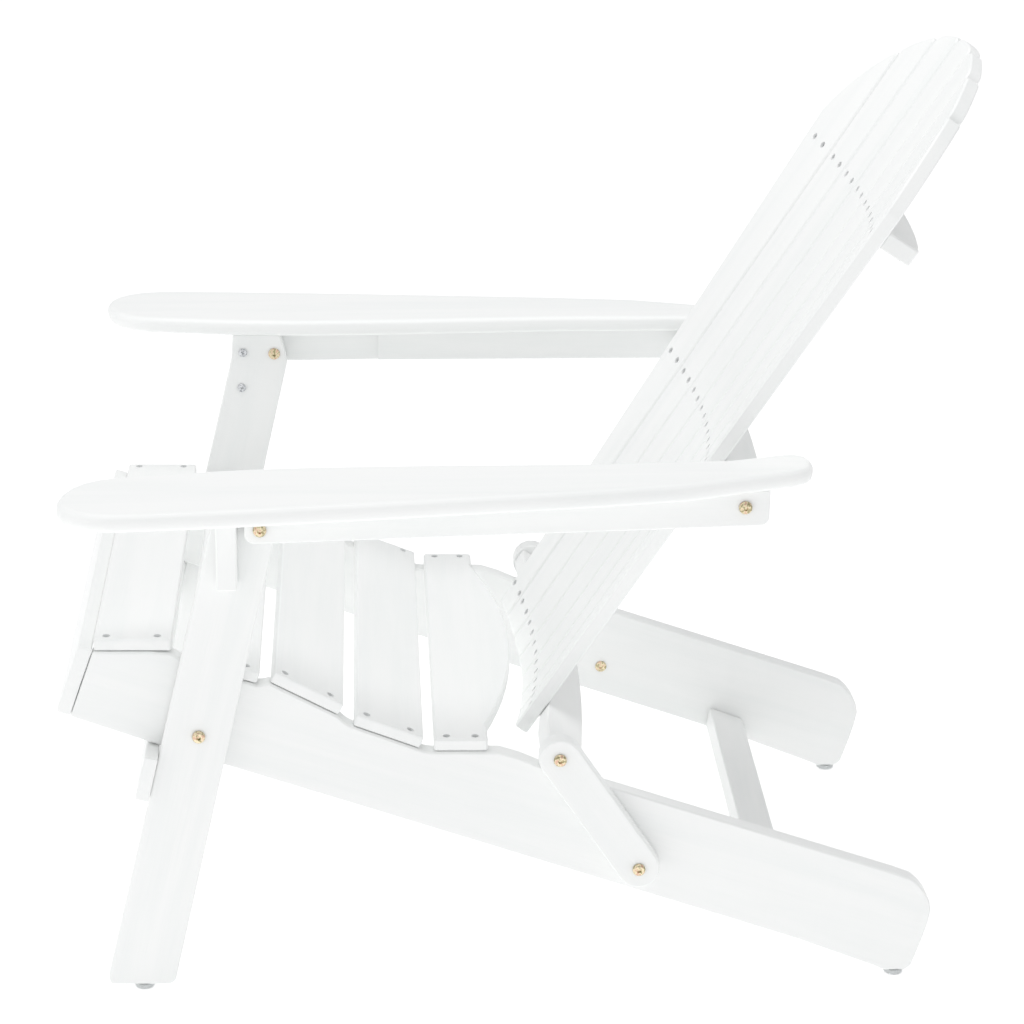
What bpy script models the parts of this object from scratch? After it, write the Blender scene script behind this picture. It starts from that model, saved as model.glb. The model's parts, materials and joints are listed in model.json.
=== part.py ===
"""Folding adirondack chair, built as separate boards, pivots, bolts and feet.

Metres, +Z up. The sitter faces -Y and the sitter's left is +X. The origin is on the
floor under the middle of the chair.

Most boards are drawn in side view as (y, z) points and given a thickness across X.
The backrest is drawn in its own frame: s runs up the slats, n stands out of their
front face, and x is shared with the chair.
"""
import math

import bmesh
import bpy
from mathutils import Matrix, Vector

# ---------------------------------------------------------------- driving dimensions
MM = 0.001
CENTRE_Y = 0.36           # shifts the side view so the chair's box is centred on Y

BOARD = 17.7              # rails, legs, links, arm rails and supports
SEAT_STOCK = 12.7         # seat slats and apron
BACK_STOCK = 14.0         # back slats
ARM_STOCK = 17.7          # armrests
GAP = 0.3                 # air left between neighbouring boards

RAIL_IN, RAIL_OUT = 220.0, 238.0      # side rails, inner and outer face
LEG_IN, LEG_OUT = 238.6, 256.4        # front legs and folding links
SIDE_IN, SIDE_OUT = 257.0, 274.8      # leg brackets and the front of the arm rails
SEAT_HALF = 236.0                     # seat slats reach this far each side
SEAT_SCREW_X = 228.0

PIVOT_LEG = (-301.0, 267.0)           # leg on side rail
PIVOT_ARM = (-242.0, 480.0)           # arm rail on leg
PIVOT_BACK = (198.0, 496.0)           # arm rail on backrest
PIVOT_TOP = (36.0, 242.0)             # link on backrest
PIVOT_LOW = (114.0, 127.0)            # link on side rail
LINK_RADIUS = 20.0

BACK_ORIGIN = (26.4, 245.3)           # front face at the lower row of screws
BACK_LEAN = math.radians(32.3)        # backrest from vertical
BACK_RADIUS = 760.0                   # hollow of the backrest across the slats
BACK_LOW = -27.5                      # lower ends of the slats
ARCH_CENTRE, ARCH_RADIUS = 532.0, 208.0
SLAT_GAP = 1.2                        # half the gap between two back slats
SCREW_ROWS = (0.0, 300.0, 565.5)
SUPPORT_S = (2.3, 304.5, 565.5)       # middle of each support board's thickness
PIVOT_N = -10.2                       # pivot line behind the front face
TIP_REACH = 8.0                        # how far a slat's top corners are rounded back

BOLT_R = 3.0
HEAD_R = 6.5
SLEEVE_R = 4.5
CLEAR = 0.3
FOOT_R, FOOT_H = 9.5, 5.0
SCREW_HEAD_R = 3.6                    # counterbore of the slat screws
SCREW_DEPTH = 4.0

WHITE = (0.84, 0.85, 0.86, 1.0)
ZINC = (0.62, 0.52, 0.33, 1.0)
STEEL = (0.60, 0.60, 0.62, 1.0)
CLEAR_PLASTIC = (0.82, 0.84, 0.84, 1.0)


# ---------------------------------------------------------------- small helpers
def clear_scene():
    """Remove everything the default file opens with."""
    for obj in list(bpy.data.objects):
        bpy.data.objects.remove(obj, do_unlink=True)


def add_material(obj, colour, roughness, metallic):
    """Give one object its own Principled material."""
    material = bpy.data.materials.new(obj.name)
    material.use_nodes = True
    shader = material.node_tree.nodes["Principled BSDF"]
    shader.inputs["Base Color"].default_value = colour
    shader.inputs["Roughness"].default_value = roughness
    shader.inputs["Metallic"].default_value = metallic
    obj.data.materials.append(material)


def side(x, y, z):
    """A point of the side view, in millimetres, as chair metres."""
    return Vector((x, y + CENTRE_Y, z)) * MM


def back(x, s, n):
    """A point of the backrest's own frame, in millimetres, as chair metres."""
    y = BACK_ORIGIN[0] + s * math.sin(BACK_LEAN) - n * math.cos(BACK_LEAN)
    z = BACK_ORIGIN[1] + s * math.cos(BACK_LEAN) + n * math.sin(BACK_LEAN)
    return side(x, y, z)


def loft(name, ring_a, ring_b):
    """A closed solid between two rings with the same number of points."""
    bm = bmesh.new()
    low = [bm.verts.new(point) for point in ring_a]
    high = [bm.verts.new(point) for point in ring_b]
    count = len(low)
    bm.faces.new(low)
    bm.faces.new(high)
    for i in range(count):
        j = (i + 1) % count
        bm.faces.new((low[i], low[j], high[j], high[i]))
    bmesh.ops.recalc_face_normals(bm, faces=bm.faces)
    mesh = bpy.data.meshes.new(name)
    bm.to_mesh(mesh)
    bm.free()
    obj = bpy.data.objects.new(name, mesh)
    bpy.context.collection.objects.link(obj)
    return obj


def prism(name, outline, x_a, x_b):
    """A board drawn in side view, running across X from x_a to x_b."""
    ring_a = [side(x_a, y, z) for y, z in outline]
    ring_b = [side(x_b, y, z) for y, z in outline]
    return loft(name, ring_a, ring_b)


def turned(name, profile, origin, axis, segments):
    """A round piece: profile is (distance along the axis, radius) from end to end."""
    z_axis = Vector(axis).normalized()
    turn = z_axis.to_track_quat("Z", "Y").to_matrix()
    bm = bmesh.new()
    rings = []
    for along, radius in profile:
        if radius == 0.0:
            rings.append([bm.verts.new(origin + turn @ Vector((0, 0, along * MM)))])
            continue
        ring = []
        for k in range(segments):
            angle = 2.0 * math.pi * k / segments
            local = Vector((radius * math.cos(angle), radius * math.sin(angle), along))
            ring.append(bm.verts.new(origin + turn @ (local * MM)))
        rings.append(ring)
    for ring_a, ring_b in zip(rings, rings[1:]):
        for k in range(segments):
            m = (k + 1) % segments
            if len(ring_a) == 1:
                bm.faces.new((ring_a[0], ring_b[m], ring_b[k]))
            elif len(ring_b) == 1:
                bm.faces.new((ring_a[k], ring_a[m], ring_b[0]))
            else:
                bm.faces.new((ring_a[k], ring_a[m], ring_b[m], ring_b[k]))
    bmesh.ops.recalc_face_normals(bm, faces=bm.faces)
    mesh = bpy.data.meshes.new(name)
    bm.to_mesh(mesh)
    bm.free()
    obj = bpy.data.objects.new(name, mesh)
    bpy.context.collection.objects.link(obj)
    return obj


def apply_modifiers(obj):
    """Freeze the modifiers into the mesh."""
    graph = bpy.context.evaluated_depsgraph_get()
    mesh = bpy.data.meshes.new_from_object(obj.evaluated_get(graph))
    obj.modifiers.clear()
    obj.data = mesh


def ease(obj, width, segments=1):
    """Take the sharpness off a board's edges."""
    bevel = obj.modifiers.new("eased_edges", "BEVEL")
    bevel.width = width * MM
    bevel.segments = segments
    bevel.limit_method = "ANGLE"
    bevel.angle_limit = math.radians(35.0)
    bevel.use_clamp_overlap = True
    apply_modifiers(obj)


def cut(obj, cutters):
    """Subtract each cutter from the board, then remove the cutters."""
    for cutter in cutters:
        boolean = obj.modifiers.new("cut", "BOOLEAN")
        boolean.operation = "DIFFERENCE"
        boolean.solver = "EXACT"
        boolean.object = cutter
    apply_modifiers(obj)
    for cutter in cutters:
        bpy.data.objects.remove(cutter, do_unlink=True)


def cross_hole(pivot, radius, x_a, x_b, segments=16):
    """A cutter for a bolt hole across X at a point of the side view."""
    start = side(x_a, pivot[0], pivot[1])
    return turned("cutter", [(0, 0), (0, radius), (abs(x_b - x_a), radius), (abs(x_b - x_a), 0)],
                  start, (math.copysign(1, x_b - x_a), 0, 0), segments)


def counterbore(point, inward):
    """A cutter for the recess of a slat screw."""
    start = point - inward * MM
    length = SCREW_DEPTH + 1.0
    profile = [(0, 0), (0, SCREW_HEAD_R), (length, SCREW_HEAD_R), (length, 0)]
    return turned("cutter", profile, start, inward, 10)


def finish(obj, colour=WHITE, roughness=0.45, metallic=0.0, pivot=None, smooth=False):
    """Move the origin to the pivot, or to the piece's middle, and add the material."""
    if pivot is None:
        corners = [Vector(corner) for corner in obj.bound_box]
        origin = sum(corners, Vector()) / 8.0
    else:
        origin = side(0.0, pivot[0], pivot[1])
    obj.data.transform(Matrix.Translation(-origin))
    obj.location = origin
    if smooth:
        obj.data.shade_smooth()
        obj.data.set_sharp_from_angle(angle=math.radians(35.0))
    add_material(obj, colour, roughness, metallic)


def rounded(corner, before, after, radius, steps=4):
    """Points that round a corner of a side view outline."""
    corner, before, after = Vector(corner), Vector(before), Vector(after)
    into, out = (before - corner).normalized(), (after - corner).normalized()
    half = math.acos(max(-1.0, min(1.0, into.dot(out)))) / 2.0
    reach = radius / math.tan(half)
    centre = corner + (into + out).normalized() * (radius / math.sin(half))
    start, end = corner + into * reach - centre, corner + out * reach - centre
    turn = math.atan2(start.x * end.y - start.y * end.x, start.dot(end))
    points = []
    for k in range(steps + 1):
        angle = turn * k / steps
        c, s = math.cos(angle), math.sin(angle)
        points.append((centre.x + c * start.x - s * start.y, centre.y + s * start.x + c * start.y))
    return points


# ---------------------------------------------------------------- seat frame
# Each seat slat: front and rear edge of its top face, and its two screw rows.
SEAT_SLATS = (
    ((-397.5, 357.0), (-325.6, 357.0), (-386.0, -339.0)),
    ((-309.0, 343.0), (-244.0, 323.0), (-301.0, -257.0)),
    ((-230.0, 324.0), (-166.0, 290.0), (-221.0, -179.0)),
    ((-154.0, 280.0), (-91.0, 256.0), (-145.0, -104.0)),
    ((-82.0, 254.0), (-31.0, 254.0), (-70.0, -43.0)),
)
BOW_REACH, BOW_RADIUS, BOW_HALF = 0.0, 640.0, 203.0    # rear edge of the last slat

APRON_FOOT, APRON_HEIGHT = (-421.0, 279.0), 71.2
APRON_DIR = Vector((0.316, 0.949)).normalized()
STRETCHER = ((233.0, 54.4), (278.0, 41.4), (273.4, 63.5), (236.4, 77.5))


def slat_frame(front, rear):
    """Direction along a slat's top face and its outward normal, in side view."""
    along = (Vector(rear) - Vector(front)).normalized()
    return along, Vector((-along.y, along.x))


def seat_bearing(front, rear):
    """The two ends of the rail facet that carries a slat."""
    along, up = slat_frame(front, rear)
    drop = up * (SEAT_STOCK + GAP)
    return tuple(Vector(front) - drop), tuple(Vector(rear) - drop)


def rail_outline():
    """Side view of a seat rail, shaped to carry every slat."""
    bearings = [seat_bearing(front, rear) for front, rear, _ in SEAT_SLATS]
    top = [(-398.3, bearings[0][0][1])]
    top += [(-345.0, bearings[0][1][1]), (-327.0, 342.6), (-318.5, 338.0)]
    top += [bearings[1][0], bearings[1][1], (-242.0, bearings[1][1][1] + 0.4)]
    top += [bearings[2][0], bearings[2][1], (-165.0, 271.5)]
    top += [bearings[3][0], bearings[3][1], (-90.0, 242.0)]
    top += [bearings[4][0], (-20.0, bearings[4][1][1]), (-1.0, 235.0), (18.0, 226.5)]
    top += [(92.0, 202.5), (363.0, 112.0)]
    rear = [(381.0, 105.0), (389.0, 98.0), (395.0, 90.0), (400.0, 80.0), (402.0, 70.0)]
    rear += [(399.5, 55.0), (395.0, 38.0), (389.5, 20.0), (386.0, 10.0), (380.0, 5.3)]
    rear += [(360.0, 5.3)]
    under = [(352.0, 9.0), (275.0, 39.4), (127.0, 91.0), (-276.0, 228.0), (-356.0, 255.2)]
    under += [(-420.7, 278.6)]
    return top + rear + under


def build_rail(label, sign):
    """One side rail with its two bolt holes."""
    rail = prism("rail_" + label, rail_outline(), sign * RAIL_IN, sign * RAIL_OUT)
    ease(rail, 1.5)
    cutters = []
    for pivot in (PIVOT_LEG, PIVOT_LOW):
        inner, outer = sign * (RAIL_IN - 5.0), sign * (RAIL_OUT + 5.0)
        cutters.append(cross_hole(pivot, SLEEVE_R + CLEAR, inner, outer))
    cut(rail, cutters)
    finish(rail)


def build_apron():
    """The board that closes the front of the seat, across the rails' ends."""
    foot = Vector(APRON_FOOT)
    out = Vector((-APRON_DIR.y, APRON_DIR.x)) * (SEAT_STOCK + 0.6)
    top = foot + APRON_DIR * APRON_HEIGHT
    outline = [tuple(foot), tuple(foot + out)]
    outline += [tuple(top + out), tuple(top)]
    apron = prism("apron", outline, -237.7, 237.7)
    ease(apron, 1.5)
    finish(apron)


def build_seat_slat(number, front, rear, screw_rows):
    """One straight seat slat with a screw recess at each end of each row."""
    along, up = slat_frame(front, rear)
    drop = up * SEAT_STOCK
    outline = [front, rear, tuple(Vector(rear) - drop), tuple(Vector(front) - drop)]
    slat = prism("seat_slat_%d" % number, outline, -SEAT_HALF, SEAT_HALF)
    ease(slat, 2.5, 2)
    drill_seat_screws(slat, front, along, up, screw_rows)
    finish(slat)


def build_last_seat_slat(number, front, rear, screw_rows):
    """The rear seat slat: level, with a rear edge bowed to follow the backrest."""
    plan = [(-SEAT_HALF, front[0]), (SEAT_HALF, front[0]), (SEAT_HALF, rear[0])]
    plan += [(BOW_HALF + 4.0, rear[0])]
    steps = 16
    for k in range(steps + 1):
        x = BOW_HALF * (1.0 - 2.0 * k / steps)
        plan.append((x, BOW_REACH - x * x / (2.0 * BOW_RADIUS)))
    plan += [(-BOW_HALF - 4.0, rear[0]), (-SEAT_HALF, rear[0])]
    top = [side(x, y, front[1]) for x, y in plan]
    under = [side(x, y, front[1] - SEAT_STOCK) for x, y in plan]
    slat = loft("seat_slat_%d" % number, under, top)
    ease(slat, 2.0)
    along, up = slat_frame(front, rear)
    drill_seat_screws(slat, front, along, up, screw_rows)
    finish(slat)


def drill_seat_screws(slat, front, along, up, screw_rows):
    """Recess two screws at each end of a seat slat."""
    inward = Vector((0.0, -up.x, -up.y))
    cutters = []
    for y in screw_rows:
        z = front[1] + (y - front[0]) * along.y / along.x
        for x in (-SEAT_SCREW_X, SEAT_SCREW_X):
            cutters.append(counterbore(side(x, y, z), inward))
    cut(slat, cutters)


def build_foot(name, y, x, pivot=None):
    """A clear glide foot under the end of a board."""
    profile = [(0, 0), (0, FOOT_R - 1.5), (1.2, FOOT_R), (FOOT_H, FOOT_R), (FOOT_H, 0)]
    foot = turned(name, profile, side(x, y, 0.0), (0, 0, 1), 20)
    finish(foot, CLEAR_PLASTIC, 0.25, 0.0, pivot, True)


# ---------------------------------------------------------------- legs
LEG_OUTLINE = (
    (-388.0, 5.3), (-332.0, 5.3), (-327.0, 9.0), (-228.3, 470.0), (-235.5, 499.5),
    (-239.0, 501.0), (-284.0, 501.0), (-286.0, 499.0), (-287.3, 473.0), (-391.0, 12.0),
)
STOP_BAR = ((-350.7, 251.2), (-360.7, 206.7), (-348.3, 203.9), (-338.3, 248.4))
STOP_HALF = 266.5                      # the bar reaches past the legs
BRACKET = ((-282.0, 420.0), (-263.0, 420.0), (-263.0, 502.0), (-282.0, 502.0))
BRACKET_SCREWS = ((-275.0, 481.0), (-276.5, 442.0))
SCREW_R, SCREW_PAN_R = 2.0, 4.5


def build_leg(label, sign):
    """One front leg with holes for its two pivots and the bracket screws."""
    leg = prism("leg_" + label, list(LEG_OUTLINE), sign * LEG_IN, sign * LEG_OUT)
    ease(leg, 1.5)
    inner, outer = sign * (LEG_IN - 5.0), sign * (LEG_OUT + 5.0)
    cutters = [cross_hole(PIVOT_LEG, BOLT_R + CLEAR, inner, outer)]
    cutters.append(cross_hole(PIVOT_ARM, SLEEVE_R + CLEAR, inner, outer))
    for point in BRACKET_SCREWS:
        cutters.append(cross_hole(point, SCREW_R + CLEAR, inner, outer, 10))
    cut(leg, cutters)
    finish(leg, pivot=PIVOT_LEG)


def build_stop_bar():
    """The bar across the legs that stops the rails from dropping between them."""
    bar = prism("stop_bar", list(STOP_BAR), -STOP_HALF, STOP_HALF)
    ease(bar, 1.2)
    finish(bar, pivot=PIVOT_LEG)


def build_bracket(label, sign):
    """The block on the outside of a leg that the armrest rests on."""
    bracket = prism("bracket_" + label, list(BRACKET), sign * SIDE_IN, sign * SIDE_OUT)
    ease(bracket, 1.5)
    cutters = []
    for point in BRACKET_SCREWS:
        inner, outer = sign * (SIDE_IN - 5.0), sign * (SIDE_IN + 12.0)
        cutters.append(cross_hole(point, SCREW_R + CLEAR, inner, outer, 10))
    cut(bracket, cutters)
    finish(bracket, pivot=PIVOT_LEG)


def build_bracket_screws(label, sign):
    """Two pan-head screws through the leg into the bracket."""
    for row, point in zip(("upper", "lower"), BRACKET_SCREWS):
        head = [(0, 0), (0, 2.6), (0.9, SCREW_PAN_R - 0.5), (1.8, SCREW_PAN_R), (2.1, SCREW_PAN_R)]
        shank = [(2.1, SCREW_R), (30.0, SCREW_R), (32.0, 0)]
        start = side(sign * (LEG_IN - 2.3), point[0], point[1])
        name = "bracket_screw_%s_%s" % (row, label)
        screw = turned(name, head + shank, start, (sign, 0, 0), 10)
        finish(screw, STEEL, 0.3, 1.0, PIVOT_LEG, True)


# ---------------------------------------------------------------- links
def build_link(label, sign):
    """The short board that carries the foot of the backrest."""
    low, high = Vector(PIVOT_LOW), Vector(PIVOT_TOP)
    along = (high - low).normalized()
    across = Vector((-along.y, along.x))
    outline = []
    for centre, forward in ((low, -1.0), (high, 1.0)):
        for k in range(9):
            angle = math.pi * k / 8.0
            step = across * math.cos(angle) + along * math.sin(angle)
            outline.append(tuple(centre + step * LINK_RADIUS * forward))
    link = prism("link_" + label, outline, sign * LEG_IN, sign * LEG_OUT)
    ease(link, 1.2)
    inner, outer = sign * (LEG_IN - 5.0), sign * (LEG_OUT + 5.0)
    cut(link, [cross_hole(pivot, BOLT_R + CLEAR, inner, outer) for pivot in (PIVOT_LOW, PIVOT_TOP)])
    finish(link, pivot=PIVOT_LOW)


# ---------------------------------------------------------------- backrest
def back_hollow(x):
    """How far the front face stands forward at a distance from the middle."""
    return x * x / (2.0 * BACK_RADIUS)


def slat_pitch(s):
    """Width taken by one inner slat; the slats widen upwards."""
    return 49.3 + 0.0068 * s


def back_half_width(s):
    """Distance from the middle to the outside edge of the outer slats."""
    return 158.5 + 0.0695 * s


def slat_edges(index, s):
    """Left and right edge of a back slat; index runs from -3 to 3."""
    bounds = [(-3.5 + k) * slat_pitch(s) for k in range(8)]
    bounds[0], bounds[7] = -back_half_width(s), back_half_width(s)
    low, high = bounds[index + 3], bounds[index + 4]
    low += 0.0 if index == -3 else SLAT_GAP
    high -= 0.0 if index == 3 else SLAT_GAP
    return low, high


def slat_point(index, x, s, depth):
    """A point of a flat slat, at a depth behind its front face."""
    low, high = slat_edges(index, s)
    rise = (back_hollow(high) - back_hollow(low)) / (high - low)
    length = math.hypot(1.0, rise)
    n = back_hollow(low) + rise * (x - low)
    return back(x + depth * rise / length, s, n - depth / length)


def arch(x):
    """Height of the arched top at a distance from the middle."""
    return ARCH_CENTRE + math.sqrt(max(0.0, ARCH_RADIUS ** 2 - x * x))


def tip_corner(x, inward):
    """The rounded top corner of a slat, from its edge on to the arch."""
    corner, beside = Vector((x, arch(x))), Vector((x + inward * 12.0, arch(x + inward * 12.0)))
    half = math.acos(-(beside - corner).normalized().y) / 2.0
    below = corner - Vector((0.0, 20.0))
    return rounded(corner, below, beside, TIP_REACH * math.tan(half))


def build_back_slat(number, place):
    """One back slat: tapered, flat, arched at the top, with three pairs of screws.

    A slat on the sitter's left is made as its twin on the right and then mirrored.
    """
    index = -abs(place)
    low, high = slat_edges(index, BACK_LOW)
    outline = [(low, BACK_LOW), (high, BACK_LOW)]
    reach = 590.0
    low, high = slat_edges(index, reach)
    high = slat_edges(index, arch(high))[1]
    outline += tip_corner(high, -1.0)
    last = high - TIP_REACH - 3.0
    if index > -3:
        low = slat_edges(index, arch(low))[0]
        first = low + TIP_REACH + 3.0
    else:
        first = low + 6.0
    steps = 4
    for k in range(steps + 1):
        x = last + (first - last) * k / steps
        outline.append((x, arch(x)))
    if index > -3:
        outline += reversed(tip_corner(low, 1.0))
    else:
        outline.append((low, reach))
    front = [slat_point(index, x, s, 0.0) for x, s in outline]
    rear = [slat_point(index, x, s, BACK_STOCK) for x, s in outline]
    slat = loft("back_slat_%d" % number, rear, front)
    ease(slat, 1.6)
    cutters = []
    for s in SCREW_ROWS:
        low, high = slat_edges(index, s)
        middle = (low + high) / 2.0
        for x in (middle - 12.0, middle + 12.0):
            face, behind = slat_point(index, x, s, 0.0), slat_point(index, x, s, 10.0)
            cutters.append(counterbore(face, (behind - face).normalized()))
    cut(slat, cutters)
    if place > 0:
        slat.data.transform(Matrix.Scale(-1.0, 4, (1.0, 0.0, 0.0)))
        slat.data.flip_normals()
    finish(slat, pivot=PIVOT_TOP)


def support_front(s):
    """Front edge of a support: it follows the backs of the slats."""
    edges = [k * slat_pitch(s) for k in (0.5, 1.5, 2.5)] + [back_half_width(s) + 3.0]
    return [(x, back_hollow(x) - BACK_STOCK - 0.75) for x in edges]


def build_support(name, centre, half, ear, bulge):
    """A board across the backs of the slats, bowed behind, with ears for the pivots.

    half is where the board ends, ear is its front and rear edge at the pivots, or None
    for a board that ends square behind the outer slats.
    """
    right = support_front(centre)
    if ear is None:
        right = right[:-1] + [(half, back_hollow(half) - BACK_STOCK - 0.75)]
    else:
        right += [(half - 34.0, ear[0]), (half, ear[0])]
    rear = []
    steps = 8
    for k in range(steps + 1):
        x = half * (1.0 - k / steps)
        rear.append((x, -45.0 + bulge * (x / half) ** 2))
    if ear is not None and ear[1] > -29.0:
        shoulder = half - 34.0
        rear = [(half, ear[1]), (shoulder, ear[1])] + [p for p in rear if p[0] < shoulder - 8.0]
    half_plan = right + rear
    plan = half_plan + [(-x, n) for x, n in reversed(half_plan[:-1])]
    low = [back(x, centre - BOARD / 2.0, n) for x, n in plan]
    high = [back(x, centre + BOARD / 2.0, n) for x, n in plan]
    support = loft(name, low, high)
    ease(support, 1.5)
    return support


def build_supports():
    """The lower, middle and upper support boards."""
    lower = build_support("back_support_lower", SUPPORT_S[0], 237.3, (7.0, -30.0), 15.0)
    middle = build_support("back_support_middle", SUPPORT_S[1], 237.3, (0.8, -21.4), 15.0)
    upper = build_support("back_support_upper", SUPPORT_S[2], 184.0, None, 19.0)
    for support, pivot in ((lower, PIVOT_TOP), (middle, PIVOT_BACK)):
        cutters = []
        for sign in (1.0, -1.0):
            cutters.append(cross_hole(pivot, SLEEVE_R + CLEAR, sign * 245.0, sign * 220.0))
        cut(support, cutters)
    for support in (lower, middle, upper):
        finish(support, pivot=PIVOT_TOP)


# ---------------------------------------------------------------- arms
ARM_TOP, ARM_SLOPE = 525.8, 0.02      # height of the armrest's top face at y = 0
ARMREST_INNER = (
    (-370.0, 238.5), (-330.0, 232.0), (-290.0, 226.0), (-245.0, 222.0), (-200.0, 219.6),
    (-100.0, 219.6), (0.0, 222.0), (60.0, 223.0), (140.0, 220.0), (184.0, 219.4),
    (198.0, 216.4), (214.0, 212.0), (232.0, 207.0), (244.0, 204.8),
)
ARMREST_REAR = (
    (252.5, 206.5), (258.5, 213.0), (261.5, 221.5), (262.0, 231.0), (259.5, 242.0),
    (253.0, 250.5),
)
ARMREST_OUTER = (
    (241.0, 257.0), (222.0, 262.5), (180.0, 275.5), (140.0, 288.0), (50.0, 301.0),
    (-50.0, 312.0), (-150.0, 323.0), (-245.0, 332.5), (-300.0, 337.3), (-340.0, 340.3),
    (-370.0, 341.0),
)
ARMREST_FRONT = (
    (-388.0, 338.0), (-402.0, 331.0), (-413.0, 321.0), (-419.0, 308.5), (-420.5, 295.0),
    (-418.0, 280.0), (-411.5, 264.5), (-401.0, 251.5), (-386.5, 242.5),
)
ARM_RAIL_FRONT, ARM_RAIL_REAR = -256.0, 221.0
TOE_X = 257.2                         # arm rail's inner face at the arm pivot
TOE = (TOE_X - 238.9) / (PIVOT_BACK[0] - PIVOT_ARM[0])
RELIEF_X, RELIEF_REAR = 257.0, -132.0  # flat cut where the folded leg lies


def arm_top(y):
    """Height of the armrest's top face."""
    return ARM_TOP + ARM_SLOPE * y


def build_armrest(label, sign):
    """The broad board the sitter's arm lies on."""
    plan = ARMREST_INNER + ARMREST_REAR + ARMREST_OUTER + ARMREST_FRONT
    top = [side(sign * x, y, arm_top(y)) for y, x in plan]
    under = [side(sign * x, y, arm_top(y) - ARM_STOCK) for y, x in plan]
    armrest = loft("armrest_" + label, under, top)
    ease(armrest, 7.0, 3)
    finish(armrest, pivot=PIVOT_BACK)


def build_arm_rail(label, sign):
    """The upright board under an armrest, toed in towards the backrest."""
    front, rear = ARM_RAIL_FRONT, ARM_RAIL_REAR
    front_top, rear_top = arm_top(front) - ARM_STOCK - GAP, arm_top(rear) - ARM_STOCK - GAP
    outline = [(front, front_top)]
    outline += rounded((front, 465.8), (front, front_top), (0.0, 471.5), 9.0)
    outline += rounded((rear, 477.2), (0.0, 471.5), (rear, rear_top), 8.0)
    outline += [(rear, rear_top)]
    inner, outer = [], []
    for y, z in outline:
        x = TOE_X - TOE * (y - PIVOT_ARM[0])
        inner.append(side(sign * x, y, z))
        outer.append(side(sign * (x + BOARD), y, z))
    rail = loft("arm_rail_" + label, inner, outer)
    ease(rail, 1.5)
    corners = [(-270.0, 440.0), (RELIEF_REAR, 440.0), (RELIEF_REAR, 520.0), (-270.0, 520.0)]
    cutters = [prism("cutter", corners, sign * 230.0, sign * RELIEF_X)]
    cutters.append(cross_hole(PIVOT_ARM, BOLT_R + CLEAR, sign * 250.0, sign * 285.0))
    cutters.append(cross_hole(PIVOT_BACK, BOLT_R + CLEAR, sign * 230.0, sign * 265.0))
    cut(rail, cutters)
    finish(rail, pivot=PIVOT_BACK)


# ---------------------------------------------------------------- bolts
def build_bolt(name, pivot, outer, tip, sign, body_pivot):
    """A button-head bolt along X: head outside the board at outer, shank to tip."""
    head = [(0, 0), (0, 4.2), (1.0, 5.7), (2.2, HEAD_R), (3.4, HEAD_R)]
    reach = 3.4 + abs(outer - tip)
    shank = [(3.4, BOLT_R), (reach - 1.0, BOLT_R), (reach, BOLT_R - 0.8), (reach, 0)]
    start = side(sign * (outer + 3.4), pivot[0], pivot[1])
    bolt = turned(name, head + shank, start, (-sign, 0, 0), 16)
    socket_start = start + Vector((sign * MM, 0, 0))
    socket = turned("cutter", [(0, 0), (0, 2.3), (3.0, 2.3), (3.0, 0)], socket_start, (-sign, 0, 0), 6)
    cut(bolt, [socket])
    finish(bolt, ZINC, 0.35, 1.0, body_pivot, True)


def build_sleeve(name, pivot, inner, outer, sign, body_pivot):
    """A sleeve nut: a flange on the inner face and a bored barrel towards the bolt."""
    profile = [(0, 0), (0, HEAD_R - 0.8), (0.6, HEAD_R), (1.6, HEAD_R), (1.6, SLEEVE_R)]
    reach = 1.6 + abs(outer - inner)
    profile += [(reach, SLEEVE_R), (reach, BOLT_R + CLEAR), (2.4, BOLT_R + CLEAR), (2.4, 0)]
    start = side(sign * (inner - 1.6), pivot[0], pivot[1])
    sleeve = turned(name, profile, start, (sign, 0, 0), 14)
    finish(sleeve, ZINC, 0.4, 1.0, body_pivot, True)


def build_insert(name, pivot, sign, body_pivot):
    """A bored insert in the end of a support board."""
    profile = [(0, 0), (0, SLEEVE_R), (15.0, SLEEVE_R), (15.0, BOLT_R + CLEAR)]
    profile += [(1.2, BOLT_R + CLEAR), (1.2, 0)]
    start = side(sign * 221.8, pivot[0], pivot[1])
    insert = turned(name, profile, start, (sign, 0, 0), 14)
    finish(insert, ZINC, 0.4, 1.0, body_pivot, True)


def build_fasteners(label, sign):
    """The five bolts of one side with what they screw into."""
    build_bolt("bolt_leg_" + label, PIVOT_LEG, LEG_OUT + GAP, 224.0, sign, None)
    build_sleeve("sleeve_leg_" + label, PIVOT_LEG, RAIL_IN - GAP, 236.5, sign, None)
    build_bolt("bolt_link_low_" + label, PIVOT_LOW, LEG_OUT + GAP, 224.0, sign, None)
    build_sleeve("sleeve_link_low_" + label, PIVOT_LOW, RAIL_IN - GAP, 236.5, sign, None)
    build_bolt("bolt_link_top_" + label, PIVOT_TOP, LEG_OUT + GAP, 224.5, sign, PIVOT_TOP)
    build_insert("insert_link_top_" + label, PIVOT_TOP, sign, PIVOT_TOP)
    build_bolt("bolt_back_" + label, PIVOT_BACK, 238.9 + BOARD + 0.7, 224.5, sign, PIVOT_TOP)
    build_insert("insert_back_" + label, PIVOT_BACK, sign, PIVOT_TOP)
    build_bolt("bolt_arm_" + label, PIVOT_ARM, TOE_X + BOARD + 0.7, 257.2, sign, PIVOT_BACK)
    build_sleeve("sleeve_arm_" + label, PIVOT_ARM, LEG_IN - GAP, 255.8, sign, PIVOT_LEG)


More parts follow.
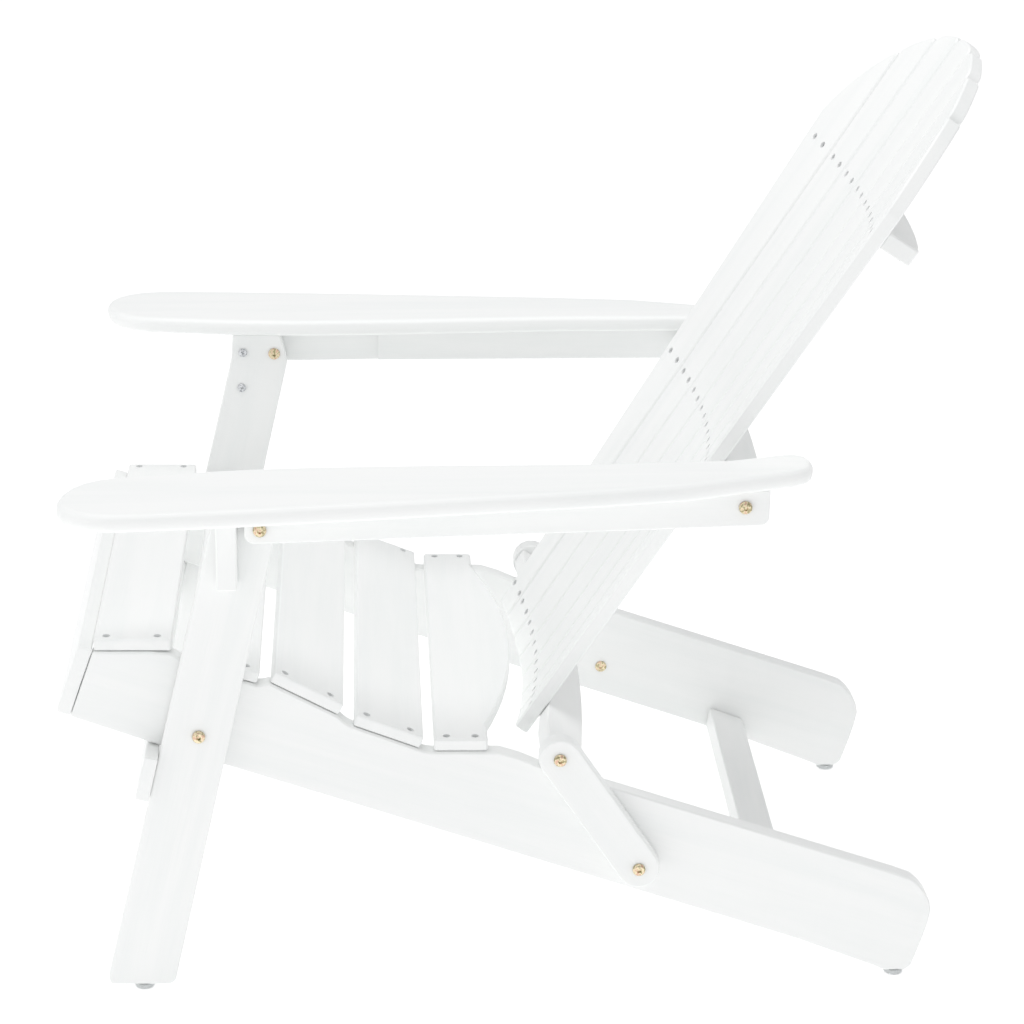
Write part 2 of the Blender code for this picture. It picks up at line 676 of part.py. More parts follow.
# ---------------------------------------------------------------- the chair
def build_chair():
    """Build every piece in its place."""
    for label, sign in (("left", 1.0), ("right", -1.0)):
        build_rail(label, sign)
        build_leg(label, sign)
        build_bracket(label, sign)
        build_bracket_screws(label, sign)
        build_link(label, sign)
        build_arm_rail(label, sign)
        build_armrest(label, sign)
        build_fasteners(label, sign)
        build_foot("foot_front_" + label, -357.0, sign * 247.5, PIVOT_LEG)
        build_foot("foot_rear_" + label, 370.5, sign * 229.0)
    build_apron()
    build_stop_bar()
    stretcher = prism("rear_stretcher", list(STRETCHER), 0.6 - RAIL_IN, RAIL_IN - 0.6)
    ease(stretcher, 1.5)
    finish(stretcher)
    for number, (front, rear, rows) in enumerate(SEAT_SLATS, 1):
        if number < len(SEAT_SLATS):
            build_seat_slat(number, front, rear, rows)
        else:
            build_last_seat_slat(number, front, rear, rows)
    for number, index in enumerate(range(3, -4, -1), 1):
        build_back_slat(number, index)
    build_supports()


clear_scene()
build_chair()
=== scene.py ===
# %% [markdown]
# # A folding adirondack chair
# The chair is made of white painted boards held by bolts and screws. Its shape comes
# packed as a fixed frame of named nodes, one for each board and fitting. This lesson
# gives each board its worked edges and its paint, drives in the screws, makes the
# bolts, sleeve nuts and feet, and then sets up a white room with soft light.
#
# The sitter faces -Y and the sitter's left hand is towards +X. Everything is in metres.

# %% Load the frame
import json
import math

import bpy
from mathutils import Matrix, Vector


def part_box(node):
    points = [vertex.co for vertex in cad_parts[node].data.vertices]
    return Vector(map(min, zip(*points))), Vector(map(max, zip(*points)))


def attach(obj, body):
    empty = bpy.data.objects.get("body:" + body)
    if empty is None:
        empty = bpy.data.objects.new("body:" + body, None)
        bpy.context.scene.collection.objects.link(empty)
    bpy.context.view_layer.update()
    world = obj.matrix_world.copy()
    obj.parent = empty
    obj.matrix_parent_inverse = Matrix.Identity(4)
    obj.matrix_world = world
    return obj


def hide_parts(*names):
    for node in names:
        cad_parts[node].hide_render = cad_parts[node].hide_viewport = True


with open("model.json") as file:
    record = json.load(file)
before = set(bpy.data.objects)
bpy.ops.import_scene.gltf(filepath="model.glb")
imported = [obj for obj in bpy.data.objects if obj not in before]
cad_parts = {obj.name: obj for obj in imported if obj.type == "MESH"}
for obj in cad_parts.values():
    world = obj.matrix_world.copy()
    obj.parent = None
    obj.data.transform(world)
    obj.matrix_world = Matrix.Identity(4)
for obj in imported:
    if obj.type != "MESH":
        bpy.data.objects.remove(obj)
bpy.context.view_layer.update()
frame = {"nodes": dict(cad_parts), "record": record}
nodes = frame["nodes"]
MM = 0.001

# %% [markdown]
# ## Tools used by every piece
# Operators act on whatever is selected, and loading leaves the frame selected. So each
# step first deselects everything and makes one piece active. Faces and edges are then
# picked by where they are, because a script has no hand to click with.


# %% Selecting
def pick_only(piece):
    """Deselect everything, then select one piece and make it active."""
    if bpy.context.mode != "OBJECT":
        bpy.ops.object.mode_set(mode="OBJECT")
    bpy.ops.object.select_all(action="DESELECT")
    piece.select_set(True)
    bpy.context.view_layer.objects.active = piece


def pick_faces(piece, wanted):
    """Go into edit mode with only the faces that wanted(face) accepts selected."""
    bpy.ops.object.mode_set(mode="EDIT")
    bpy.ops.mesh.select_mode(type="FACE")
    bpy.ops.mesh.select_all(action="DESELECT")
    bpy.ops.object.mode_set(mode="OBJECT")
    for face in piece.data.polygons:
        face.select = wanted(face)
    bpy.ops.object.mode_set(mode="EDIT")


def apply_all(piece):
    """Apply each modifier of a piece, first to last."""
    pick_only(piece)
    for modifier in list(piece.modifiers):
        bpy.ops.object.modifier_apply(modifier=modifier.name)


def cut_away(piece, cutter, crossing=False):
    """Subtract the cutter, whose own parts may be crossing, and remove it."""
    boolean = piece.modifiers.new("cut", "BOOLEAN")
    boolean.operation = "DIFFERENCE"
    boolean.solver = "EXACT"
    boolean.use_self = crossing
    boolean.object = cutter
    apply_all(piece)
    bpy.data.objects.remove(cutter, do_unlink=True)


def place_mesh(piece, name, matrix):
    """A copy of a piece with its own mesh, moved there inside the mesh."""
    copy = bpy.data.objects.new(name, piece.data.copy())
    copy.data.transform(matrix)
    bpy.context.scene.collection.objects.link(copy)
    return copy


def shade(piece, angle):
    """Smooth shading that keeps every edge sharper than the angle."""
    pick_only(piece)
    bpy.ops.object.shade_smooth_by_angle(angle=math.radians(angle))


# %% [markdown]
# ## Colours and nodes
# Colours are written as the hex values a painter's chart gives. The shader wants linear
# light, so one function turns them. Another adds any node with its settings and links.


# %% Colour and node helpers
def linear(hex_colour):
    """An sRGB hex colour as linear RGBA."""
    values = []
    for k in (1, 3, 5):
        value = int(hex_colour[k:k + 2], 16) / 255.0
        values.append(value / 12.92 if value <= 0.04045 else ((value + 0.055) / 1.055) ** 2.4)
    return (*values, 1.0)


def add_node(tree, kind, settings=None, inputs=None, links=None):
    """Add a node, set its properties and inputs, and link sockets into it."""
    node = tree.nodes.new(kind)
    for key, value in (settings or {}).items():
        setattr(node, key, value)
    for key, value in (inputs or {}).items():
        node.inputs[key].default_value = value
    for key, socket in (links or {}).items():
        tree.links.new(socket, node.inputs[key])
    return node


def new_material(name):
    """An empty material with its shader: returns material, tree and shader."""
    material = bpy.data.materials.new(name)
    material.use_nodes = True
    tree = material.node_tree
    shader = tree.nodes["Principled BSDF"]
    return material, tree, shader


# %% [markdown]
# ## White satin enamel on pine
# The boards are softwood, sprayed with white satin enamel. The paint fills the grain but
# sinks a little as it dries, so fine lines run along every board and catch the light.
# Over that lies the faint dimpling of sprayed paint. The pattern must follow each board,
# so a Mapping node of the Texture kind turns it: its rotation is how the board lies, and
# its scale is the real size of the pattern, long with the grain and fine across it.


# %% Painted wood
GRAIN_SIZE = (55 * MM, 1.6 * MM, 1.6 * MM)      # one fine line of the grain
FIGURE_SIZE = (380 * MM, 26 * MM, 26 * MM)      # broad early and late wood
DIMPLE_SIZE = 2.2 * MM                          # sprayed paint, drawn coarser than life
GRAIN_DEPTH = 0.12 * MM
DIMPLE_DEPTH = 0.06 * MM
PAINT_LIGHT, PAINT_DEEP = "#F6F7F6", "#F2F4F3"


def lie_of(degrees):
    """Rotation of a board in the YZ plane whose grain points this far above +Y."""
    turn = Matrix.Rotation(math.radians(degrees), 3, "X") @ Matrix.Rotation(math.pi / 2, 3, "Z")
    return tuple(turn.to_euler("XYZ"))


def painted_wood(name, rotation):
    """White satin enamel over grain that runs the way the board lies."""
    material, tree, shader = new_material(name)
    place = add_node(tree, "ShaderNodeTexCoord").outputs["Object"]
    grain_map = add_node(tree, "ShaderNodeMapping", {"vector_type": "TEXTURE"},
                         {"Rotation": rotation, "Scale": GRAIN_SIZE}, {"Vector": place})
    figure_map = add_node(tree, "ShaderNodeMapping", {"vector_type": "TEXTURE"},
                          {"Rotation": rotation, "Scale": FIGURE_SIZE}, {"Vector": place})
    grain = add_node(tree, "ShaderNodeTexNoise", None,
                     {"Scale": 1.0, "Detail": 4.0, "Roughness": 0.62, "Distortion": 0.15},
                     {"Vector": grain_map.outputs["Vector"]})
    figure = add_node(tree, "ShaderNodeTexNoise", None,
                      {"Scale": 1.0, "Detail": 3.0, "Roughness": 0.5, "Distortion": 0.6},
                      {"Vector": figure_map.outputs["Vector"]})
    dimples = add_node(tree, "ShaderNodeTexNoise", None,
                       {"Scale": 1.0 / DIMPLE_SIZE, "Detail": 2.0, "Roughness": 0.5},
                       {"Vector": place})
    tone = add_node(tree, "ShaderNodeMapRange", None,
                    {"From Min": 0.35, "From Max": 0.68}, {"Value": figure.outputs["Fac"]})
    lines = add_node(tree, "ShaderNodeMapRange", None,
                     {"From Min": 0.30, "From Max": 0.60}, {"Value": grain.outputs["Fac"]})
    both = add_node(tree, "ShaderNodeMath", {"operation": "MULTIPLY_ADD"}, {1: 0.35},
                    {0: lines.outputs["Result"]})
    tree.links.new(tone.outputs["Result"], both.inputs[2])
    paint = add_node(tree, "ShaderNodeMix", {"data_type": "RGBA"},
                     {"A": linear(PAINT_DEEP), "B": linear(PAINT_LIGHT)},
                     {"Factor": both.outputs["Value"]})
    gloss = add_node(tree, "ShaderNodeMapRange", None,
                     {"From Min": 0.3, "From Max": 0.7, "To Min": 0.50, "To Max": 0.36},
                     {"Value": grain.outputs["Fac"]})
    sunk = add_node(tree, "ShaderNodeBump", None, {"Strength": 0.30, "Distance": GRAIN_DEPTH},
                    {"Height": lines.outputs["Result"]})
    skin = add_node(tree, "ShaderNodeBump", None, {"Strength": 0.22, "Distance": DIMPLE_DEPTH},
                    {"Height": dimples.outputs["Fac"], "Normal": sunk.outputs["Normal"]})
    tree.links.new(paint.outputs["Result"], shader.inputs["Base Color"])
    tree.links.new(gloss.outputs["Result"], shader.inputs["Roughness"])
    tree.links.new(skin.outputs["Normal"], shader.inputs["Normal"])
    return material


GRAIN_ANGLES = {"rail": -18.4, "leg": 77.3, "link": 124.1, "arm": 1.1, "back": 57.7}
enamel = {"across": painted_wood("satin_enamel_across", (0.0, 0.0, 0.0))}
for way, degrees in GRAIN_ANGLES.items():
    enamel[way] = painted_wood("satin_enamel_" + way, lie_of(degrees))
print("enamels:", ", ".join(enamel))

# %% [markdown]
# ## Plated steel and clear plastic
# The bolts and sleeve nuts are steel with yellow zinc plating, which has a faint rainbow
# of straw, rose and green; its patches are also painted lighter and darker, a painted
# reflection. The screws are bright zinc, with painted reflection in grey patches. The glide
# feet are clear moulded polyethylene, which scatters light inside and looks milky at this size.


# %% Metals and plastic
FILM_AND_REFLECTION_PATCH = 3.2 * MM        # one patch of plating colour and painted reflection
TOOL_MARK = 0.5 * MM
MOULD_GRAIN = 0.9 * MM       # the fine skin that a mould leaves


def plated_steel(name, plating_and_reflection_tones, rough_low, rough_high):
    """Zinc plated steel: patches of plating colour mixed with painted reflection, and fine tool
    marks.
    """
    material, tree, shader = new_material(name)
    place = add_node(tree, "ShaderNodeTexCoord").outputs["Object"]
    film_and_reflection = add_node(tree, "ShaderNodeTexNoise", None, {"Scale": 1.0 / FILM_AND_REFLECTION_PATCH, "Detail": 1.0},
                    {"Vector": place})
    marks = add_node(tree, "ShaderNodeTexNoise", None, {"Scale": 1.0 / TOOL_MARK, "Detail": 3.0},
                     {"Vector": place})
    # Painted reflection: the ramp's light and dark patches stand in for reflections, laid over the
    # plating colour.
    ramp = add_node(tree, "ShaderNodeValToRGB", None, None, {"Fac": film_and_reflection.outputs["Fac"]})
    ramp.color_ramp.elements[0].position = 0.36
    ramp.color_ramp.elements[0].color = linear(plating_and_reflection_tones[0])
    ramp.color_ramp.elements[1].position = 0.64
    ramp.color_ramp.elements[1].color = linear(plating_and_reflection_tones[2])
    ramp.color_ramp.elements.new(0.5).color = linear(plating_and_reflection_tones[1])
    rough = add_node(tree, "ShaderNodeMapRange", None,
                     {"To Min": rough_low, "To Max": rough_high}, {"Value": marks.outputs["Fac"]})
    bump = add_node(tree, "ShaderNodeBump", None, {"Strength": 0.2, "Distance": 0.04 * MM},
                    {"Height": marks.outputs["Fac"]})
    tree.links.new(ramp.outputs["Color"], shader.inputs["Base Color"])
    tree.links.new(rough.outputs["Result"], shader.inputs["Roughness"])
    tree.links.new(bump.outputs["Normal"], shader.inputs["Normal"])
    shader.inputs["Metallic"].default_value = 1.0
    return material


def clear_polyethylene(name):
    """Milky clear moulded plastic with a fine moulded skin."""
    material, tree, shader = new_material(name)
    place = add_node(tree, "ShaderNodeTexCoord").outputs["Object"]
    skin = add_node(tree, "ShaderNodeTexNoise", None, {"Scale": 1.0 / MOULD_GRAIN, "Detail": 2.0},
                    {"Vector": place})
    rough = add_node(tree, "ShaderNodeMapRange", None, {"To Min": 0.22, "To Max": 0.38},
                     {"Value": skin.outputs["Fac"]})
    bump = add_node(tree, "ShaderNodeBump", None, {"Strength": 0.15, "Distance": 0.05 * MM},
                    {"Height": skin.outputs["Fac"]})
    tree.links.new(rough.outputs["Result"], shader.inputs["Roughness"])
    tree.links.new(bump.outputs["Normal"], shader.inputs["Normal"])
    shader.inputs["Base Color"].default_value = linear("#EDF0F0")
    shader.inputs["IOR"].default_value = 1.51
    shader.inputs["Transmission Weight"].default_value = 0.45
    return material


# The light and dark patches in these tones are painted reflection; the straw and rose hues of
# yellow zinc are its plating colour, and the grey patches of bright zinc are painted reflection
# only.
yellow_zinc = plated_steel("yellow_zinc_steel", ("#A89E7C", "#ECE0BE", "#D4B29C"), 0.22, 0.40)
bright_zinc = plated_steel("bright_zinc_steel", ("#A4A6AA", "#E6E8EA", "#C6C8CB"), 0.22, 0.38)
polyethylene = clear_polyethylene("clear_polyethylene")
print("metals and plastic ready")

# %% [markdown]
# ## Boards
# Every board of the frame already has the right outline, holes and counterbores, with a
# narrow flat along each edge. A real edge is sanded round before painting. So a copy of
# each board is merged into a clean solid, its flat faces are freed of their inner edges,
# and a small bevel rounds both sides of every edge flat. Weighted normals then keep the
# broad faces looking flat while the edges roll over.

# %% Which way each board lies
ACROSS = ["apron", "stop_bar", "rear_stretcher", "back_support_lower", "back_support_middle",
          "back_support_upper"] + ["seat_slat_%d" % k for k in range(1, 6)]
BACK = ["back_slat_%d" % k for k in range(1, 8)]
lies = {name: "across" for name in ACROSS}
lies.update({name: "back" for name in BACK})
for hand in ("left", "right"):
    lies.update({"rail_" + hand: "rail", "leg_" + hand: "leg", "bracket_" + hand: "leg",
                 "link_" + hand: "link", "arm_rail_" + hand: "arm", "armrest_" + hand: "arm"})
body_of = {}
for body, members in frame["record"]["behaviour"]["bodies"].items():
    for member in members:
        body_of[member] = body
print("boards:", len(lies))

# %% Clean copies of the boards
SCREW_FLOOR = (34e-6, 44e-6)     # area of a counterbore's floor, in square metres
BORE_SIDES = 10                  # sides of that floor in the frame's mesh
MERGE_GAP = 0.02 * MM            # points closer than this are one point
FLAT_ANGLE = math.radians(0.4)   # faces that meet more flatly than this are one face
EDGE_ROUND = 0.75 * MM
EDGE_ANGLE = math.radians(26.0)  # sharper edges than this are sanded round
screw_sites = {}


def clean_copy(node):
    """A merged copy of a node's mesh, without the inner edges of its flat faces."""
    piece = bpy.data.objects.new("painted_" + node, nodes[node].data.copy())
    bpy.context.scene.collection.objects.link(piece)
    piece.data.materials.clear()
    pick_only(piece)
    bpy.ops.mesh.customdata_custom_splitnormals_clear()
    bpy.ops.object.mode_set(mode="EDIT")
    bpy.ops.mesh.select_all(action="SELECT")
    bpy.ops.mesh.remove_doubles(threshold=MERGE_GAP)
    bpy.ops.mesh.dissolve_limited(angle_limit=FLAT_ANGLE)
    bpy.ops.object.mode_set(mode="OBJECT")
    return piece


def find_screw_sites(piece):
    """Centre and outward normal of the floor of every counterbore."""
    low, high = SCREW_FLOOR
    return [(face.center.copy(), face.normal.copy()) for face in piece.data.polygons
            if len(face.vertices) == BORE_SIDES and low < face.area < high]


def finish_board(node):
    """Round the edges, paint the board and let it ride in the node's place."""
    piece = clean_copy(node)
    if "slat" in node:
        screw_sites[node] = find_screw_sites(piece)
    bevel = piece.modifiers.new("sanded_edges", "BEVEL")
    bevel.width = EDGE_ROUND
    bevel.segments = 2
    bevel.limit_method = "ANGLE"
    bevel.angle_limit = EDGE_ANGLE
    apply_all(piece)
    shade(piece, 40.0)
    weighted = piece.modifiers.new("flat_faces", "WEIGHTED_NORMAL")
    weighted.keep_sharp = True
    weighted.weight = 80
    apply_all(piece)
    piece.data.materials.append(enamel[lies[node]])
    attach(piece, body_of[node])
    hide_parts(node)


for node in sorted(lies):
    finish_board(node)
print("screw sites:", {node: len(sites) for node, sites in screw_sites.items()})

# %% [markdown]
# ## Slat screws
# Each back slat is held by three pairs of screws and each seat slat by a pair at each
# end. The heads sit in counterbores below the face, so they read as small dark rounds.
# One head is modelled: a disc whose rim is bevelled, with a cross cut into it by two
# thin tapered blades. Its copies are turned a little differently each time,
# as a screwdriver leaves them.

# %% One screw head
HEAD_RADIUS, HEAD_HEIGHT = 3.25 * MM, 1.5 * MM
HEAD_RIM = 0.45 * MM
SLOT_LENGTH, SLOT_WIDTH, SLOT_DEPTH = 3.6 * MM, 0.85 * MM, 1.1 * MM
BLADE_TAPER = 0.45               # size of a blade's foot against its top


def cross_blades(length, width, depth, top):
    """Two crossed blades, narrower at the foot, to cut a driver recess."""
    blades = []
    for quarter in (0.0, math.pi / 2):
        bpy.ops.object.select_all(action="DESELECT")
        bpy.ops.mesh.primitive_cube_add(size=1.0, location=(0, 0, top))
        blade = bpy.context.object
        blade.scale = (length, width, depth * 2.0)
        blade.rotation_euler = (0, 0, quarter)
        pick_only(blade)
        bpy.ops.object.transform_apply(location=True, rotation=True, scale=True)
        pick_faces(blade, lambda face: face.normal.z < -0.9)
        bpy.ops.transform.resize(value=(BLADE_TAPER, BLADE_TAPER, 1.0), center_override=(0, 0, top))
        bpy.ops.object.mode_set(mode="OBJECT")
        blades.append(blade)
    pick_only(blades[0])
    blades[1].select_set(True)
    bpy.ops.object.join()
    return blades[0]


def cut_cross(piece, length, width, depth, top):
    """Cut a cross recess into the top of a screw head."""
    cut_away(piece, cross_blades(length, width, depth, top), crossing=True)


def bevel_rim(piece, height, width, segments):
    """Bevel the rim of the flat face at a height."""
    pick_faces(piece, lambda face: abs(face.center.z - height) < 1e-5 and abs(face.normal.z) > 0.9)
    bpy.ops.mesh.bevel(offset=width, segments=segments, profile=0.5, affect="EDGES")
    bpy.ops.object.mode_set(mode="OBJECT")


bpy.ops.object.select_all(action="DESELECT")
bpy.ops.mesh.primitive_cylinder_add(vertices=24, radius=HEAD_RADIUS, depth=HEAD_HEIGHT,
                                    location=(0, 0, HEAD_HEIGHT / 2))
screw_head = bpy.context.object
pick_only(screw_head)
bpy.ops.object.transform_apply(location=True, rotation=True, scale=True)
bevel_rim(screw_head, HEAD_HEIGHT, HEAD_RIM, 2)
cut_cross(screw_head, SLOT_LENGTH, SLOT_WIDTH, SLOT_DEPTH, HEAD_HEIGHT)
shade(screw_head, 35.0)
screw_head.data.materials.append(bright_zinc)
print("faces of one screw head:", len(screw_head.data.polygons))

# %% Drive the screws
TURN_STEP = math.radians(47.0)   # each screw stops this much further round
SEAT_GAP = 0.05 * MM             # between a head and the floor it is driven onto


def drive_screws(node, sites):
    """Put a head on the floor of each counterbore and join them for one slat."""
    copies = []
    for k, (centre, normal) in enumerate(sites):
        stand = normal.to_track_quat("Z", "Y").to_matrix().to_4x4()
        turn = Matrix.Rotation(TURN_STEP * (k + len(node)), 4, "Z")
        matrix = Matrix.Translation(centre + normal * SEAT_GAP) @ stand @ turn
        copies.append(place_mesh(screw_head, "screws_%s" % node, matrix))
    pick_only(copies[0])
    for copy in copies[1:]:
        copy.select_set(True)
    bpy.ops.object.join()
    screws = copies[0]
    screws.name = "screws_" + node
    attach(screws, body_of[node])


for node, sites in screw_sites.items():
    if sites:
        drive_screws(node, sites)
print("screws:", sum(len(sites) for sites in screw_sites.values()))

# %% [markdown]
# ## Bolts and sleeve nuts
# Each pivot is a button-head bolt with a hexagon socket. It turns in one board and
# screws into a sleeve nut whose flange shows on the inner side, or into an insert in the
# end of a support. A disc is the start: its rim is bevelled into the button, the back is
# inset and extruded into the shank, and a six-sided cutter makes the socket.

# %% Bolt maker
HEAD_R, HEAD_H, HEAD_ROUND, SHANK_R = 6.1 * MM, 3.4 * MM, 2.2 * MM, 3.0 * MM
SOCKET_R, SOCKET_D = 2.4 * MM, 2.0 * MM
UNDERCUT = 0.35 * MM             # the narrow land under the edge of a head
TIP_BEVEL = 0.5 * MM
SPIN_STEP = math.radians(17.0)   # how far each fitting is turned, times its name's length


def headed_pin(name, head_r, head_h, rim, shank_r, length, segments=40):
    """A round head with its top at z = 0 and a shank down to -length."""
    bpy.ops.object.select_all(action="DESELECT")
    bpy.ops.mesh.primitive_cylinder_add(vertices=segments, radius=head_r, depth=head_h,
                                        location=(0, 0, -head_h / 2))
    pin = bpy.context.object
    pin.name = name
    pick_only(pin)
    bpy.ops.object.transform_apply(location=True, rotation=True, scale=True)
    bevel_rim(pin, 0.0, rim, 4)
    pick_faces(pin, lambda face: face.normal.z < -0.9)
    bpy.ops.mesh.inset(thickness=UNDERCUT)
    bpy.ops.mesh.inset(thickness=head_r - shank_r - UNDERCUT)
    bpy.ops.mesh.extrude_region_move(TRANSFORM_OT_translate={"value": (0, 0, head_h - length)})
    bpy.ops.mesh.bevel(offset=TIP_BEVEL, segments=1, affect="EDGES")
    bpy.ops.object.mode_set(mode="OBJECT")
    return pin


def cut_socket(pin, radius, depth):
    """A hexagon socket in the top of a head."""
    bpy.ops.object.select_all(action="DESELECT")
    bpy.ops.mesh.primitive_cylinder_add(vertices=6, radius=radius, depth=depth * 2.0,
                                        location=(0, 0, 0))
    cut_away(pin, bpy.context.object)


def nodes_named(start):
    """The names of the frame's nodes that start like this, in order."""
    return [node for node in sorted(nodes) if node.startswith(start)]


def side_of(node):
    """1 for a fitting on the sitter's left, -1 on the right."""
    return 1.0 if node.endswith("left") else -1.0


def set_in_place(pin, node, name, sign, metal):
    """Turn the head towards +X or -X, move it to its node and let it ride there."""
    low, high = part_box(node)
    middle = (low + high) / 2.0
    outer = high.x if sign > 0 else low.x
    turn = Matrix.Rotation(sign * math.pi / 2, 4, "Y")
    spin = Matrix.Rotation(SPIN_STEP * len(node), 4, "Z")
    pin.data.transform(Matrix.Translation((outer, middle.y, middle.z)) @ turn @ spin)
    pin.name = name
    shade(pin, 32.0)
    pin.data.materials.clear()
    pin.data.materials.append(metal)
    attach(pin, body_of[node])
    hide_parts(node)


# %% Make the ten bolts
for node in nodes_named("bolt_"):
    low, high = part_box(node)
    bolt = headed_pin(node + "_head", HEAD_R, HEAD_H, HEAD_ROUND, SHANK_R, high.x - low.x)
    cut_socket(bolt, SOCKET_R, SOCKET_D)
    set_in_place(bolt, node, "steel_" + node, side_of(node), yellow_zinc)
print("bolts:", len(nodes_named("bolt_")))

# %% [markdown]
# A sleeve nut is the same turned shape the other way round: a thin flange on the inner
# face of the board, and a barrel with a bore that takes the bolt.

# %% Make the six sleeve nuts
FLANGE_H, FLANGE_ROUND, FLANGE_SOCKET = 1.6 * MM, 0.7 * MM, 1.4 * MM
BARREL_R, BORE_R = 4.5 * MM, 3.3 * MM
BORE_END = 4.0 * MM              # solid metal left between the bore and the flange's face


def hollow_barrel(sleeve, length):
    """Sink the bore for the bolt into the barrel's foot."""
    pick_faces(sleeve, lambda face: face.normal.z < -0.9 and face.center.z < -0.9 * length)
    bpy.ops.mesh.inset(thickness=BARREL_R - TIP_BEVEL - BORE_R)
    bpy.ops.mesh.extrude_region_move(TRANSFORM_OT_translate={"value": (0, 0, length - BORE_END)})
    bpy.ops.object.mode_set(mode="OBJECT")


for node in nodes_named("sleeve_"):
    low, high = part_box(node)
    length = high.x - low.x
    sleeve = headed_pin(node + "_turned", HEAD_R, FLANGE_H, FLANGE_ROUND, BARREL_R, length)
    hollow_barrel(sleeve, length)
    cut_socket(sleeve, SOCKET_R, FLANGE_SOCKET)
    set_in_place(sleeve, node, "steel_" + node, -side_of(node), yellow_zinc)
print("sleeve nuts:", len(nodes_named("sleeve_")))

# %% [markdown]
# ## Bracket screws and inserts
# Two pan-head screws go from the inner face of each leg into the block that carries the
# armrest. They are bright zinc with a cross recess. The inserts in the ends of the
# supports stay as the frame has them, in yellow zinc, because the boards hide them.

# %% Bracket screws
PAN_R, PAN_H, PAN_ROUND, SCREW_R = 4.5 * MM, 2.1 * MM, 1.2 * MM, 2.0 * MM
CROSS_LENGTH, CROSS_WIDTH, CROSS_DEPTH = 4.6 * MM, 1.0 * MM, 1.4 * MM
for node in nodes_named("bracket_screw_"):
    low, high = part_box(node)
    screw = headed_pin(node + "_pan", PAN_R, PAN_H, PAN_ROUND, SCREW_R, high.x - low.x, 28)
    cut_cross(screw, CROSS_LENGTH, CROSS_WIDTH, CROSS_DEPTH, 0.0)
    set_in_place(screw, node, "steel_" + node, -side_of(node), bright_zinc)
print("bracket screws:", len(nodes_named("bracket_screw_")))

# %% Plate the inserts
for node in nodes_named("insert_"):
    nodes[node].data.materials.clear()
    nodes[node].data.materials.append(yellow_zinc)
print("inserts:", len(nodes_named("insert_")))

# %% [markdown]
# ## Glide feet
# A clear plastic button is pinned under the end of each board. Its lower rim is rounded
# so that it slides, and a recess in the middle holds the pin that fixes it.

# %% Make the four feet
PIN_RECESS_R, PIN_RECESS_D = 3.4 * MM, 1.8 * MM
FOOT_ROUND = 1.6 * MM
for node in nodes_named("foot_"):
    low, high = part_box(node)
    middle = (low + high) / 2.0
    radius, height = (high.x - low.x) / 2.0, high.z - low.z
    bpy.ops.object.select_all(action="DESELECT")
    bpy.ops.mesh.primitive_cylinder_add(vertices=48, radius=radius, depth=height,
                                        location=(middle.x, middle.y, low.z + height / 2))
    foot = bpy.context.object
    foot.name = "clear_" + node
    pick_only(foot)
    bpy.ops.object.transform_apply(location=True, rotation=True, scale=True)
    bevel_rim(foot, low.z, FOOT_ROUND, 4)
    pick_faces(foot, lambda face: face.normal.z < -0.999)
    bpy.ops.mesh.inset(thickness=radius - FOOT_ROUND - PIN_RECESS_R)
    bpy.ops.mesh.extrude_region_move(TRANSFORM_OT_translate={"value": (0, 0, PIN_RECESS_D)})
    bpy.ops.object.mode_set(mode="OBJECT")
    shade(foot, 35.0)
    foot.data.materials.append(polyethylene)
    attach(foot, body_of[node])
    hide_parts(node)
bpy.data.objects.remove(screw_head, do_unlink=True)
print("feet:", len(nodes_named("foot_")))

# %% [markdown]
# ## Room and light
# White goods are shown in a white room. The floor is a broad white sheet that glows a
# little, so that only the closest shadows show on it. The room itself is even white
# light, which fills every side, and two large soft lamps give the boards their form:
# one straight above the chair, one in front of it on its left.

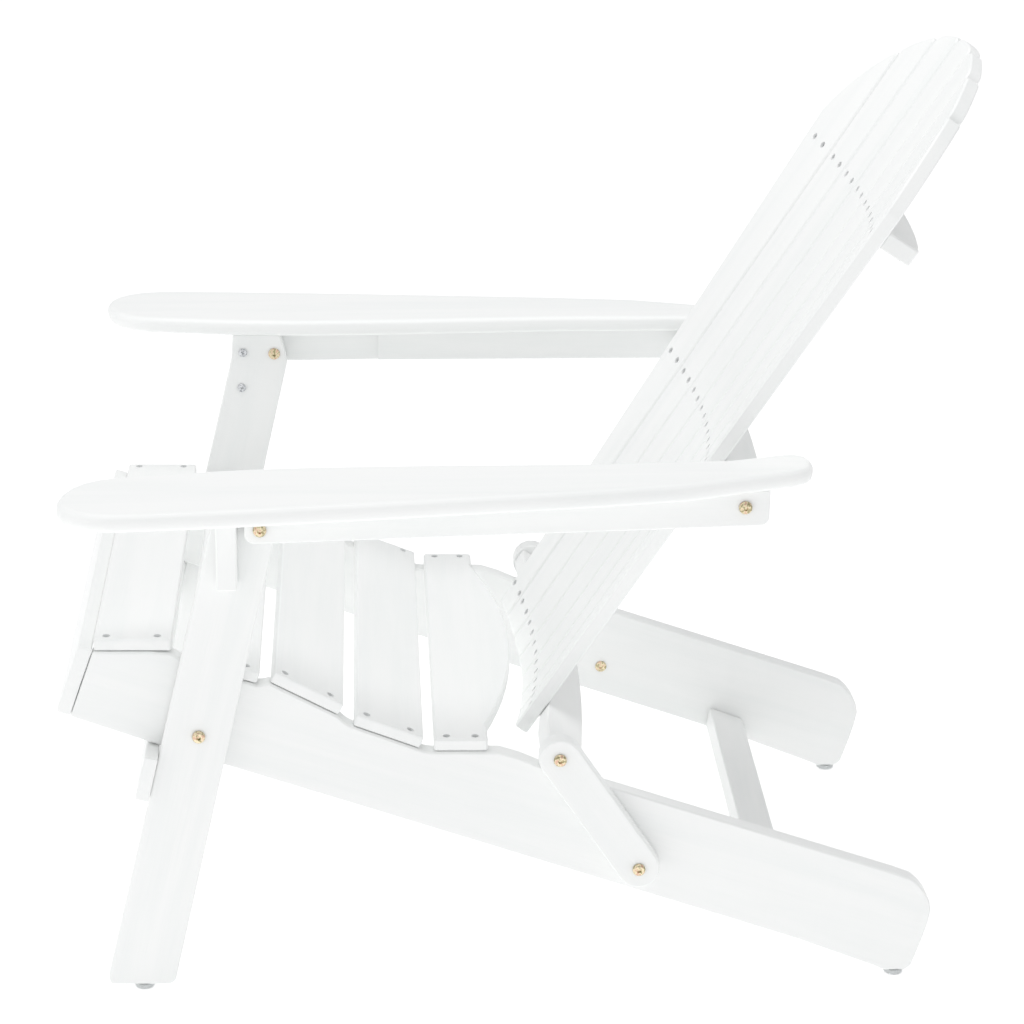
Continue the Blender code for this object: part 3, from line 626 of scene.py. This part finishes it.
# %% Floor
FLOOR_SIZE, FLOOR_DROP, FLOOR_GLOW = 24.0, 0.2 * MM, 0.40
bpy.ops.object.select_all(action="DESELECT")
bpy.ops.mesh.primitive_plane_add(size=FLOOR_SIZE, location=(0, 0, -FLOOR_DROP))
floor = bpy.context.object
floor.name = "floor"
material, tree, shader = new_material("white_floor")
shader.inputs["Base Color"].default_value = linear("#FAFAFA")
shader.inputs["Roughness"].default_value = 0.9
shader.inputs["Emission Color"].default_value = linear("#FFFFFF")
shader.inputs["Emission Strength"].default_value = FLOOR_GLOW
floor.data.materials.append(material)

# %% Light
ROOM_STRENGTH = 0.66
TOP_WATTS, FRONT_WATTS = 36.0, 4.5
scene = bpy.context.scene
world = bpy.data.worlds.new("white_room")
world.use_nodes = True
background = world.node_tree.nodes["Background"]
background.inputs["Color"].default_value = linear("#FDFDFE")
background.inputs["Strength"].default_value = ROOM_STRENGTH
scene.world = world
scene.view_settings.view_transform = "Standard"


def soft_lamp(name, place, aim, size, power):
    """A square lamp that faces a point."""
    data = bpy.data.lights.new(name, "AREA")
    data.shape = "SQUARE"
    data.size = size
    data.energy = power
    lamp = bpy.data.objects.new(name, data)
    lamp.location = place
    lamp.rotation_euler = (Vector(aim) - Vector(place)).to_track_quat("-Z", "Y").to_euler()
    scene.collection.objects.link(lamp)


soft_lamp("top_lamp", (0.1, -0.4, 3.4), (0.0, 0.0, 0.4), 2.0, TOP_WATTS)
soft_lamp("front_lamp", (1.6, -2.2, 1.3), (0.0, -0.3, 0.4), 1.4, FRONT_WATTS)

# %% [markdown]
# ## Camera
# The camera stands on the chair's left, a little in front of square to it and above
# it, with a long lens so that the boards hardly converge.

# %% Camera
CAMERA_PLACE = Vector((2.7884, -0.1575, 1.4611))
CAMERA_AIM = Vector((0.0, 0.0004, 0.3926))
CAMERA_ROLL = math.radians(1.27)
LENS_MM, SENSOR_MM = 105.35, 36.0
camera_data = bpy.data.cameras.new("camera")
camera_data.sensor_width = SENSOR_MM
camera_data.lens = LENS_MM
camera = bpy.data.objects.new("camera", camera_data)
look = (CAMERA_AIM - CAMERA_PLACE).to_track_quat("-Z", "Y").to_matrix()
camera.rotation_euler = (look @ Matrix.Rotation(CAMERA_ROLL, 3, "Z")).to_euler()
camera.location = CAMERA_PLACE
scene.collection.objects.link(camera)
scene.camera = camera
